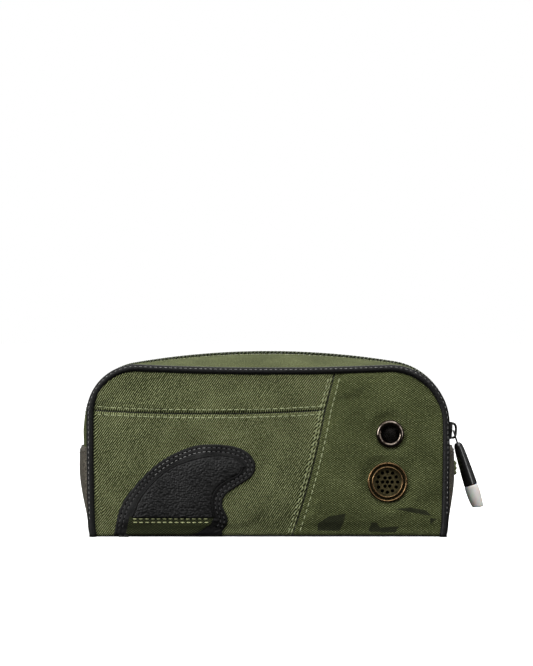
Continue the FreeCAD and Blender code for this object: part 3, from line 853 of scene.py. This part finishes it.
def boot(side, name, node):
    """A leather end panel, from the ground up to its folded top edge."""
    sign = (-1, 1)[side]

    def place(u, v):
        y = -half_depth + 2 * half_depth * u
        z = 0.35 + (boot_height - 0.35) * v
        out = min(1.0, abs(y) / half_depth)
        share = 1 - out**1.3
        x = seam.wall(side, z) + (ridge.wall(side, z) - seam.wall(side, z)) * share
        between = max(0.0, abs(y) - 7.0) / (half_depth - 7.0)
        x += boot_fullness[side] * (4 * between * (1 - between)) ** 0.6 * smoothstep(
            z / boot_rise[side])
        x += leather * (0.35 + 0.65 * smoothstep((1 - out) * 8))
        x += 0.35 * math.exp(-((boot_height - z) / 1.6) ** 2)
        x += 0.35 * noise.noise(Vector((y * 0.05, z * 0.06, side * 7.0))) * share
        edge = min(u, 1 - u, v, 1 - v)
        held = 1.0 if edge < 0.03 or abs(y) < 9 else 0.0
        return Vector((sign * x, y, z)), (y, z), held

    bm = sheet(44, 28, place, (sign, 0, 0), (0.2, 0.5))
    return new_object(name, bm, boot_leather, "pouch", (node,))


base_share = 0.978  # the base ends inside the rounded corners of the foot


def base():
    def place(u, v):
        x = -foot_half + 2 * foot_half * u
        y = (half_depth - foot_radius * 0.4) * (2 * v - 1)
        dip = 0.12 * noise.noise(Vector((x * 0.03, y * 0.05, 1.0)))
        return Vector((x * base_share, y, 0.2 + dip)), (x, y), 1.0

    bm = sheet(60, 24, place, (0, 0, -1))
    return new_object("base_leather", bm, black_leather, "pouch", ("base_panel",))


def piping_line(side):
    """The piping's middle line: up one end, over the top and down the other."""
    y = side * half_depth
    points = []
    count = 220
    for n in range(count + 1):
        (x, z), _ = seam.point(n / count)
        points.append(Vector((x, y, max(z, 0.0))))
    kept = [p for p in points if p.z > 0.6]
    return [Vector((kept[0].x, y, 0.1))] + kept + [Vector((kept[-1].x, y, 0.1))]


def piping(side, name, node, row):
    line = piping_line(side)
    made = tube(name, line, piping_radius, fine_leather, "pouch", (node,), sides=4)
    so_far = lengths(line)
    stitches = []
    end_gap, pitch = 12.0, 3.1
    distance = end_gap
    turn = math.radians(64)
    while distance < so_far[-1] - end_gap:
        spot, along = at_length(line, so_far, distance)
        out = along.cross(Vector((0, 1, 0))).normalized()
        if out.dot(spot - Vector((0, spot.y, 50))) < 0:
            out = -out
        face = out * math.cos(turn) + Vector((0, side, 0)) * math.sin(turn)
        stitches.append((spot + face * piping_radius, along, face))
        distance += pitch
    sew(row, stitches, 1.7, 0.42, grey_thread)
    return made


# ---------------------------------------------------------------- the zip
def chain_line(spacing, y=0.0):
    """Places along the zip's own line, or beside it, a set distance apart."""
    start, end = 0.125, 0.875
    rough = [arch_shape(start + (end - start) * n / 900, y)[0] for n in range(901)]
    so_far = lengths(rough)
    count = int(so_far[-1] / spacing)
    return [at_length(rough, so_far, n * spacing) for n in range(count)]


def away_from_middle(spot, along):
    """The direction square to the zip's line that points out of the pouch."""
    up = Vector((-along.z, 0, along.x))
    return up if up.dot(spot - Vector((0, 0, 50))) > 0 else -up


def coil(side, name, node):
    """One half of the zip: a flattened nylon coil whose turns reach between those of
    the other half."""
    pitch, points_a_turn = 2.4, 10
    line = chain_line(pitch / points_a_turn)
    points = []
    shift = 0 if side < 0 else points_a_turn / 2
    for n, (spot, along) in enumerate(line):
        turn = 2 * math.pi * (n + shift) / points_a_turn
        up = away_from_middle(spot, along)
        across = side * (1.0 + 1.5 * math.cos(turn))
        points.append(spot + Vector((0, across, 0)) + up * (0.75 + 0.6 * math.sin(turn)))
    return tube(name, points, 0.48, coil_nylon, "pouch", (node,), sides=1)


def strip_stitches():
    """Zigzag stitching that holds each strip of cloth to its zip tape."""
    stitches = []
    for side in (-1, 1):
        for n, (spot, along) in enumerate(chain_line(1.8, side * (strip_gap + 2.8))):
            up = away_from_middle(spot, along)
            lean_over = 1.1 if n % 2 else -1.1
            way = (along + Vector((0, lean_over, 0))).normalized()
            stitches.append((spot + up * 0.25, way, up))
    sew("zip_zigzag_stitches", stitches, 2.3, 0.55, green_thread)


def slider():
    """The slider's shell: a top plate with turned-down sides, and the plate below."""
    centre = travel_centre
    half_angle = math.radians(7.3)

    def spot_at(angle, radius, y):
        return Vector((centre.x + radius * math.cos(angle), y,
                       centre.z + radius * math.sin(angle)))

    def top(u, v):
        angle = slider_angle + half_angle * (2 * u - 1)
        width = 4.6 - 0.9 * smoothstep(u * 2 - 1) - 0.5 * smoothstep(0.25 - u)
        across = 2 * v - 1
        y = width * max(-1, min(1, across * 1.25))
        drop = 1.75 * smoothstep((abs(across) - 0.76) / 0.24)
        crown = 0.25 * (1 - across**2)
        return spot_at(angle, ridge_shoulder_right + 3.0 + crown - drop, y), (u, v), 1.0

    def under(u, v):
        angle = slider_angle + half_angle * (2 * u - 1)
        width = 2.8 - 0.5 * smoothstep(u * 2 - 1)
        return spot_at(angle, ridge_shoulder_right - 3.05, width * (2 * v - 1)), (u, v), 1.0

    bm = sheet(16, 20, top, (1, 0, 0))
    shell = new_object("slider_shell", bm, black_coat, "slider", ("slider_body",))
    thicken(shell, 0.75)
    bm = sheet(12, 10, under, (-1, 0, 0))
    plate = new_object("slider_under_plate", bm, black_coat, "slider")
    thicken(plate, 0.8)

    def local(along, height, y=0.0):
        turn = Matrix.Rotation(-slider_angle, 3, "Y")
        return Vector((centre.x, y, centre.z)) + turn @ Vector(
            (ridge_shoulder_right + height, 0, along))

    corners = [Vector((-4.4, 0, 2.6)), Vector((-4.5, 0, 3.9)), Vector((-3.9, 0, 5.1)),
               Vector((-2.2, 0, 5.55)), Vector((1.4, 0, 5.5)), Vector((3.4, 0, 5.0)),
               Vector((4.4, 0, 3.9)), Vector((4.4, 0, 2.6))]
    points = [local(p.x, p.z) for p in through(corners, 6)]
    tube("slider_arch", points, 0.8, black_coat, "slider", ("slider_bridge",), sides=4)


# ---------------------------------------------------------------- the pull
pull_way = Vector((math.sin(pull_lean), 0, -math.cos(pull_lean)))


def on_pull(bm):
    matrix = frame_matrix(pull_pivot, pull_way, (0, 1, 0))
    bmesh.ops.transform(bm, matrix=matrix, verts=bm.verts)
    return bm


def pull():
    half = 1.5
    points = []
    for n in range(11):
        share = n / 10
        points.append((-half + 0.2 * (1 - share), 10.2 - 8.6 * share))
    for n in range(1, 12):
        turn = math.pi * n / 12
        points.append((-half * math.cos(turn), half * (1 - math.sin(turn))))
    for n in range(11):
        share = n / 10
        points.append((half - 0.2 * share, 1.6 + 8.6 * share))
    line = [pull_pivot + Vector((0, y, 0)) + pull_way * s for y, s in points]
    tube("pull_cord", line, 0.5, pull_cord, "pull", ("pull_loop",), sides=3)

    start, length = 8.0, 28.3
    end = start + length
    grip = [(0, start), (1.1, start), (1.6, start + 0.15), (1.95, start + 0.5),
            (2.4, start + 1.1), (2.8, start + 2.0), (3.2, start + 5.0),
            (3.6, start + 11.0), (3.95, start + 18.0), (4.2, start + 24.0),
            (4.3, end - 0.9), (4.3, end - 0.35), (4.1, end - 0.05), (3.2, end),
            (3.1, end - 1.5), (0, end - 1.6)]
    smooth(new_object("pull_grip_rubber", on_pull(turned(grip, 48)), grip_rubber, "pull",
                      ("pull_grip",)))
    tip_end = end + 14.7
    tip = [(0, end - 1.4), (3.0, end - 1.4), (3.35, end - 0.2), (4.1, end + 0.15),
           (4.42, end + 0.7), (4.5, end + 3.5), (4.48, end + 6.5), (4.2, end + 9.8),
           (3.85, end + 12.2), (3.6, tip_end - 0.5), (3.2, tip_end - 0.05), (0, tip_end)]
    bm = turned(tip, 48)
    for vert in bm.verts:
        low = smoothstep((vert.co.z - end - 9) / 5)
        vert.co.z += 0.22 * vert.co.y * low
    smooth(new_object("pull_tip_silicone", on_pull(bm), tip_silicone, "pull", ("pull_tip",)))
    collar = [(3.1, end - 0.25), (3.95, end - 0.2), (4.05, end + 0.05), (3.95, end + 0.3),
              (3.1, end + 0.3)]
    new_object("pull_collar", on_pull(turned(collar, 48)), brass, "pull")


# ---------------------------------------------------------------- things on the front
class Ground:
    """The finished cloth of the front, to lay things on."""

    def __init__(self, pieces):
        graph = bpy.context.evaluated_depsgraph_get()
        self.trees = [BVHTree.FromObject(made, graph) for made in pieces]

    def at(self, x, z):
        """Place and outward normal of the cloth at (x, z), in millimetres."""
        start = Vector((x, -2 * half_depth, z)) * MM
        best = None
        for tree in self.trees:
            hit, normal, _, away = tree.ray_cast(start, Vector((0, 1, 0)))
            if hit is not None and (best is None or away < best[2]):
                best = (hit, normal, away)
        if best is None:
            return Vector((x, -half_depth, z)), Vector((0, -1, 0))
        hit, normal, _ = best
        if normal.y > 0:
            normal = -normal
        return hit / MM, normal


def seam_row(ground, path, pitch, sink=0.05):
    """Stitch places along a line of the XZ plane, laid on the cloth."""
    so_far = lengths(path)
    found = []
    distance = pitch / 2
    while distance < so_far[-1]:
        point, along = at_length(path, so_far, distance)
        spot, normal = ground.at(point.x, point.z)
        found.append((spot + normal * (0.12 - sink), along, normal))
        distance += pitch * (1 + 0.06 * random.uniform(-1, 1))
    return found


def front_stitching(ground):
    pitch = 4.0
    rows = []
    for off in (-2.3, 2.5):
        path = [Vector((x, 0, level_z(x) + off)) for x in range(-106, 35, 2)]
        rows += seam_row(ground, path, pitch)
    for off, low, high in ((-3.1, 2, 101), (-1.3, 2, 101), (3.7, 3, 101)):
        path = [Vector((slant_x(z) + off, 0, z)) for z in range(low, high, 2)]
        rows += seam_row(ground, path, pitch)
    sew("front_topstitching", rows, 3.1, 0.72, green_thread)


fin_outline = [Vector((x, 0, z)) for x, z in (
    (-95.8, 1.2), (-89.7, 22.0), (-70.0, 44.3), (-50.0, 55.2), (-33.0, 57.6),
    (-16.0, 54.6), (-8.2, 46.5), (-9.6, 38.2), (-18.3, 31.9), (-26.0, 26.5),
    (-28.2, 20.0), (-24.9, 11.2), (-27.4, 4.7), (-33.0, 1.2),
)]
fin_nose = 6  # the outline's point at the end of the fin
pad_outline = [Vector((x, 0, z)) for x, z in (
    (-83.8, 12.3), (-78.0, 25.3), (-64.8, 39.4), (-51.6, 46.2), (-35.0, 50.2),
    (-22.0, 49.4), (-16.3, 44.6), (-18.3, 39.0), (-26.0, 35.0), (-32.6, 29.3),
    (-34.9, 22.0), (-33.8, 12.3),
)]
pad_nose = 6


def fan(outline, nose, columns, rows, height, ground, name, material, nodes, thickness):
    """A leather piece between the two sides of an outline that meet at its nose."""
    steps = 14
    line = through(outline, steps)
    left, right = line[:nose * steps + 1], line[nose * steps:][::-1]
    left_run, right_run = lengths(left), lengths(right)

    def place(u, v):
        u = 1 - (1 - u) ** 1.25
        a, _ = at_length(left, left_run, u * left_run[-1])
        b, _ = at_length(right, right_run, u * right_run[-1])
        point = a + (b - a) * v
        away = min((point - q).length for q in line[::2])
        away = min(away, v * (b - a).length, (1 - v) * (b - a).length)
        spot, _ = ground.at(point.x, point.z)
        spot.y -= height(away, point.z)
        return spot, (point.x, point.z), 1.0

    bm = sheet(columns, rows, place, (0, -1, 0), (0.0, 0.75))
    inner = [v for v in bm.verts if not v.is_boundary]
    for _ in range(3):
        bmesh.ops.smooth_vert(bm, verts=inner, factor=0.4, use_axis_y=True)
    made = new_object(name, bm, material, "pouch", nodes)
    thicken(made, thickness)
    return made, line


def offset_path(line, inward, start=0.0, end=1.0):
    """A line beside the outline, inward of it."""
    so_far = lengths(line)
    found = []
    count = int(so_far[-1] * (end - start) / 1.5)
    for n in range(count + 1):
        spot, along = at_length(line, so_far, so_far[-1] * (start + (end - start) * n / count))
        found.append(spot + Vector((along.z, 0, -along.x)) * inward)
    return found


def band(ground, outline, width):
    """The flat leather edge of the fin: a strip along its outline, rolled over at the
    outside, with a shallow groove under each row of stitches."""
    line = through(outline, 14)
    so_far = lengths(line)

    def place(u, v):
        spot, along = at_length(line, so_far, u * so_far[-1])
        inward = width * v
        point = spot + Vector((along.z, 0, -along.x)) * inward
        roll = math.sqrt(max(0.0, 1 - (1 - min(inward / 0.8, 1.0)) ** 2))
        rows = sum(math.exp(-((inward - row) / 0.55) ** 2) for row in (2.1, 4.5))
        height = 1.2 * roll - 0.16 * rows - 0.15
        place_on, _ = ground.at(point.x, point.z)
        place_on.y -= height
        return place_on, (so_far[-1] * u, inward), 1.0

    bm = sheet(190, 26, place, (0, -1, 0))
    made = new_object("fin_patch_leather", bm, fine_leather, "pouch", ("fin_patch",))
    thicken(made, 1.0)
    return made, line


def fin(ground):
    def pad_height(away, z):
        edge = math.sqrt(1 - (1 - min(away / 0.8, 1.0)) ** 2)
        return 1.0 + 0.75 * edge + 0.9 * (1 - math.exp(-away / 6))

    patch, line = band(ground, fin_outline, 9.4)
    pad, pad_line = fan(pad_outline, pad_nose, 70, 26, pad_height, ground,
                        "fin_pad_leather", black_leather, ("fin_pad",), 1.5)
    top = Ground([patch])
    rows = []
    for inward in (2.1, 4.5):
        rows += seam_row(top, offset_path(line, inward, 0.03, 0.97), 3.0, 0.1)
    dark, pale = [], []
    # Black marks at each needle hole: painted shade in the pits.
    pit_shades = [(spot + along * 1.5 + normal * 0.04, along, normal)
             for spot, along, normal in rows]
    sew("fin_stitch_pit_shade", pit_shades, 1.3, 0.62, stitch_pit_shade)
    # Most stitches on the fin's upper stretch, which faces the light, are grey instead of
    # black: painted highlight on the black thread.
    for stitch in rows:
        x, z = stitch[0].x, stitch[0].z
        painted_highlight_stretch = -74 < x < -30 and z > 38 and x + z * 0.2 < -22
        (pale if painted_highlight_stretch and random.random() < 0.72 else dark).append(stitch)
    sew("fin_stitches_black", dark, 2.1, 0.5, black_thread)
    sew("fin_stitches_painted_highlight", pale, 2.1, 0.42, grey_thread)
    piped = [top.at(p.x, p.z)[0] - Vector((0, 0.35, 0))
             for p in offset_path(pad_line, -0.35, 0.0, 1.0)]
    tube("fin_pad_edge", piped, 0.38, fine_leather, "pouch", sides=2)

    def toe_top(x):
        return 1.0 + 7.4 * smoothstep((x + 52) / 20) ** 1.5

    def toe_place(u, v):
        x = -54.0 + 25.5 * u
        z = 0.2 + (toe_top(x) + 0.8 - 0.2) * v
        spot, _ = ground.at(x, max(z, 1.0))
        spot.z = z
        spot.y -= 0.9 * smoothstep(u * 6)
        return spot, (x, z), 1.0

    toe = new_object("fin_toe_leather", sheet(30, 8, toe_place, (0, -1, 0)), fine_leather,
                     "pouch")
    thicken(toe, 0.8)

    def hem_place(u, v):
        right = -33.4 - 2.0 * (1 - v)
        left = -85.6 - 2.6 * (1 - v)
        x = left + (right - left) * u
        low = toe_top(x)
        z = low + (12.7 - low) * v
        spot, _ = ground.at(x, z)
        spot.y -= 1.25 - 0.3 * (v < 0.04)
        return spot, (x, z), 1.0

    bm = sheet(56, 16, hem_place, (0, -1, 0), (0.2, 0.4))
    hem = new_object("fin_hem_cloth", bm, hem_cloth, "pouch", ("fin_hem",))
    thicken(hem, 0.7)
    lower = Ground([hem])
    rows = []
    for height in (11.4, 9.2):
        path = [Vector((x, 0, height)) for x in range(-84, -34, 2)]
        rows += seam_row(lower, path, 3.6)
    sew("fin_hem_stitches", rows, 2.5, 0.72, hem_thread)


def place_ring(bm, x, z, lift=0.0):
    """Turns a ring made about Z to face the front, and puts it on the cloth."""
    matrix = frame_matrix(Vector((x, -half_depth - lift, z)), (0, -1, 0), (0, 0, 1))
    bmesh.ops.transform(bm, matrix=matrix, verts=bm.verts)
    return bm


def bead(middle, radius, rise, start, end, count=9):
    """Points of a rounded bead of a ring's profile, from one angle to another."""
    return [
        (middle + radius * math.cos(math.radians(start + (end - start) * n / (count - 1))),
         rise + radius * math.sin(math.radians(start + (end - start) * n / (count - 1))))
        for n in range(count)
    ]


def rings():
    rim = bead((eyelet_hole + eyelet_outer) / 2 - 0.2, 1.7, 0.6, 180, 0, 15)
    rim = [(eyelet_hole + 0.05, -3.6)] + rim + [(eyelet_outer, 0.1), (eyelet_outer, -0.6),
                                         (eyelet_hole + 0.9, -0.7), (eyelet_hole + 0.9, -3.6)]
    bm = place_ring(turned(rim, 96), *eyelet, ring_level + 0.2)
    made = new_object("eyelet_ring", bm, gunmetal, "pouch", ("eyelet_rim",))
    smooth(made)

    outer_bead = bead(vent_outer - 0.75, 0.75, 0.75, 160, -60, 11)
    inner_bead = bead(vent_hole + 0.5, 0.6, 0.95, 200, 20, 11)
    profile = [(vent_hole - 0.1, -3.6)] + inner_bead
    profile += [(vent_hole + 1.6, 0.45), (vent_outer - 2.2, 0.4)] + outer_bead
    profile += [(vent_outer - 0.2, -0.6), (vent_hole + 0.9, -0.7), (vent_hole + 0.9, -3.6)]
    bm = place_ring(turned(profile, 112), *vent, ring_level + 0.2)
    made = new_object("vent_ring", bm, brass, "pouch", ("vent_rim",))
    made.data.materials.append(brass_dark)
    for face in made.data.polygons:
        spot = face.center / MM
        away = math.hypot(spot.x - vent[0], spot.z - vent[1])
        if vent_hole + 1.1 < away < vent_outer - 1.4 or away < vent_hole + 0.1:
            face.material_index = 1

    bm = bmesh.new()
    wire, reach = 0.16, eyelet_hole
    for turn in (math.radians(25), math.radians(115)):
        way = Vector((math.cos(turn), 0, math.sin(turn)))
        beside = Vector((-way.z, 0, way.x))
        for n in range(-5, 6):
            off = n * 1.05
            half = math.sqrt(max(reach**2 - off**2, 0.2))
            middle = Vector((eyelet[0], -half_depth - 0.5, eyelet[1])) + beside * off
            matrix = frame_matrix(middle, way, (0, 1, 0))
            bmesh.ops.create_cone(bm, cap_ends=True, segments=8, radius1=wire,
                                  radius2=wire, depth=2 * half, matrix=matrix)
    disc = turned([(0, -0.9), (eyelet_hole, -0.9), (eyelet_hole, -0.7), (0, -0.62)], 48)
    place_ring(disc, *eyelet, 0.6)
    held = bpy.data.meshes.new("mesh_back")
    disc.to_mesh(held)
    disc.free()
    bm.from_mesh(held)
    bpy.data.meshes.remove(held)
    new_object("eyelet_wire_mesh", bm, mesh_wire, "pouch", ("eyelet_mesh",))


def side_tab():
    """A short tab of folded tape on the right end panel, with three soft folds."""
    low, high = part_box("side_tab")
    z_low, z_high = low[2] / MM, high[2] / MM

    def place(u, v):
        y = 6.0 * (2 * u - 1)
        z = z_low + (z_high - z_low) * v
        wall = ridge.wall(1, z) + leather
        fold = 0.7 * abs(math.sin(3 * math.pi * v)) + 2.9
        round_off = math.sqrt(max(0.0, 1 - (2 * v - 1) ** 10))
        return Vector((wall + fold * round_off, y, z)), (y, z), 1.0

    bm = sheet(10, 36, place, (1, 0, 0))
    made = new_object("folded_side_tab", bm, tab_cloth, "pouch", ("side_tab",))
    thicken(made, 2.4)


def boot_stitches(boots):
    graph = bpy.context.evaluated_depsgraph_get()
    stitches = []
    for side, made in boots:
        sign = (-1, 1)[side]
        tree = BVHTree.FromObject(made, graph)
        for row in (2.2, 4.4):
            for n in range(-10, 11):
                y = n * 3.9
                start = Vector((sign * 140, y, boot_height - row)) * MM
                hit, normal, _, _ = tree.ray_cast(start, Vector((-sign, 0, 0)))
                if hit is None:
                    continue
                normal = normal if normal.x * sign > 0 else -normal
                stitches.append((hit / MM + normal * 0.1, Vector((0, 1, 0)), normal))
    sew("end_panel_stitches", stitches, 2.8, 0.5, black_thread)


# ---------------------------------------------------------------- parts out of sight
def finish_hidden_nodes():
    """Materials for the CAD nodes that stay as they are."""
    by_slot = {
        "foam": pad_foam, "lining": lining_cloth, "binding": pull_cord,
        "piping_cord": cord_plastic, "zip_tape": tape_cloth, "gunmetal": gunmetal,
        "antique_brass": brass_dark, "leather": black_leather, "twill": twill_cloth,
        "canvas": strip_cloth, "zip_coil": coil_nylon, "black_mesh": black_coat,
        "black_metal": black_coat, "pull_cord": pull_cord, "grip_rubber": grip_rubber,
        "tip_silicone": tip_silicone,
    }
    for part in frame["record"]["subparts"]:
        node = bpy.data.objects.get(part["node"])
        if node is None:
            continue
        material = by_slot[part["material_slot"]]
        if not node.data.materials:
            node.data.materials.append(material)
        for slot_number in range(len(node.data.materials)):
            node.data.materials[slot_number] = material


# ---------------------------------------------------------------- studio
def stage_floor():
    """White paper, partly self-lit. It throws no light back up at the pouch."""
    bm = bmesh.new()
    bmesh.ops.create_grid(bm, x_segments=1, y_segments=1, size=12.0)
    mesh = bpy.data.meshes.new("studio_floor")
    bm.to_mesh(mesh)
    bm.free()
    floor = bpy.data.objects.new("studio_floor", mesh)
    bpy.context.scene.collection.objects.link(floor)
    material, tree, shader = start_material("white_paper_floor")
    set_shader(shader, Base_Color=linear("#fbfbfb"), Roughness=0.95,
               Emission_Color=(1, 1, 1, 1), Emission_Strength=0.45)
    mesh.materials.append(material)
    floor.visible_diffuse = False
    floor.visible_glossy = False


def light(name, spot, aim, size, power):
    lamp = bpy.data.lights.new(name, "AREA")
    lamp.shape = "RECTANGLE"
    lamp.size, lamp.size_y = size
    lamp.energy = power
    holder = bpy.data.objects.new(name, lamp)
    holder.location = spot
    way = Vector(aim) - Vector(spot)
    holder.rotation_euler = way.to_track_quat("-Z", "Y").to_euler()
    bpy.context.scene.collection.objects.link(holder)
    return holder


def studio():
    stage_floor()
    world = bpy.data.worlds.new("white_studio")
    bpy.context.scene.world = world
    world.use_nodes = True
    tree = world.node_tree
    sky = tree.nodes["Background"]
    # bright overhead, dim at eye level and dark below, behind a white backdrop
    rise = add(tree, "ShaderNodeSeparateXYZ",
               {"Vector": add(tree, "ShaderNodeTexCoord").outputs["Generated"]})
    room = ramp(tree, add(tree, "ShaderNodeMapRange", {
        "Value": rise.outputs["Z"], "From Min": -1.0, "From Max": 1.0,
    }).outputs["Result"], ((0.0, "#1c1c1c"), (0.45, "#383838"), (0.62, "#808080"),
                           (1.0, "#ffffff")))
    seen = add(tree, "ShaderNodeLightPath").outputs["Is Camera Ray"]
    shown = add(tree, "ShaderNodeMix", {"Factor": seen, "A": room, "B": (1, 1, 1, 1)},
                data_type="RGBA").outputs["Result"]
    tree.links.new(shown, sky.inputs["Color"])
    sky.inputs["Strength"].default_value = 1.0
    light("top_softbox", (0.0, -0.25, 1.0), (0, 0, 0.05), (1.4, 0.9), 9)
    light("front_softbox", (0.1, -1.35, 1.25), (0, 0, 0.05), (1.6, 0.7), 15)
    light("left_softbox", (-1.0, -0.8, 0.3), (0.07, 0, 0.06), (0.3, 0.7), 10)
    light("right_softbox", (1.2, -0.35, 0.5), (0.1, 0, 0.05), (0.3, 0.8), 0.6)
    light("back_softbox", (0.0, 1.5, 1.1), (0, 0, 0.05), (1.6, 0.7), 9)
    # two white boards that only show in polished surfaces
    for name, spot, size, power in (("left_board", (-1.1, -0.9, 0.5), (0.9, 0.9), 15),
                                    ("right_board", (0.95, -1.1, 0.2), (0.35, 0.9), 6)):
        board = light(name, spot, (0.07, 0, 0.06), size, power)
        board.visible_diffuse = False
    bpy.context.scene.view_settings.view_transform = "Standard"


def camera():
    """At the height and distance that show the front nearly level, a little from
    above, with the pouch below the middle of the picture."""
    lens, distance = 135.0, 1.548
    middle = Vector((0.0, -half_depth * MM, 0.0535))
    rise = math.radians(3.0)
    view = bpy.data.cameras.new("camera")
    view.lens = lens
    view.sensor_width = 36
    holder = bpy.data.objects.new("camera", view)
    place = middle + Vector((0, -math.cos(rise), math.sin(rise))) * distance
    aim = middle + Vector((-0.0010, 0, 0.0728))
    holder.location = place
    holder.rotation_euler = (aim - place).to_track_quat("-Z", "Y").to_euler()
    bpy.context.scene.collection.objects.link(holder)
    bpy.context.scene.camera = holder


camera()
studio()
front = front_panels()
back = back_panel()
strips = [zip_strip(-1, "zip_strip_front_cloth", "zip_strip_front"),
          zip_strip(1, "zip_strip_back_cloth", "zip_strip_back")]
boots = [(0, boot(0, "end_boot_left", "end_panel_left")),
         (1, boot(1, "end_boot_right", "end_panel_right"))]
settle(front + [back] + strips + [made for _, made in boots], 2.0, 1.1)
for made in front + [back] + strips:
    thicken(made, 0.8)
for _, made in boots:
    thicken(made, 1.1)
thicken(base(), 0.8)
piping(-1, "piping_front_leather", "piping_front", "piping_front_stitches")
piping(1, "piping_back_leather", "piping_back", "piping_back_stitches")
coil(-1, "zip_coil_front_teeth", "zip_coil_front")
coil(1, "zip_coil_back_teeth", "zip_coil_back")
strip_stitches()
seam_shade_strips()
slider()
pull()
bpy.context.view_layer.update()
ground = Ground(front)
front_stitching(ground)
fin(ground)
rings()
side_tab()
boot_stitches(boots)
finish_hidden_nodes()
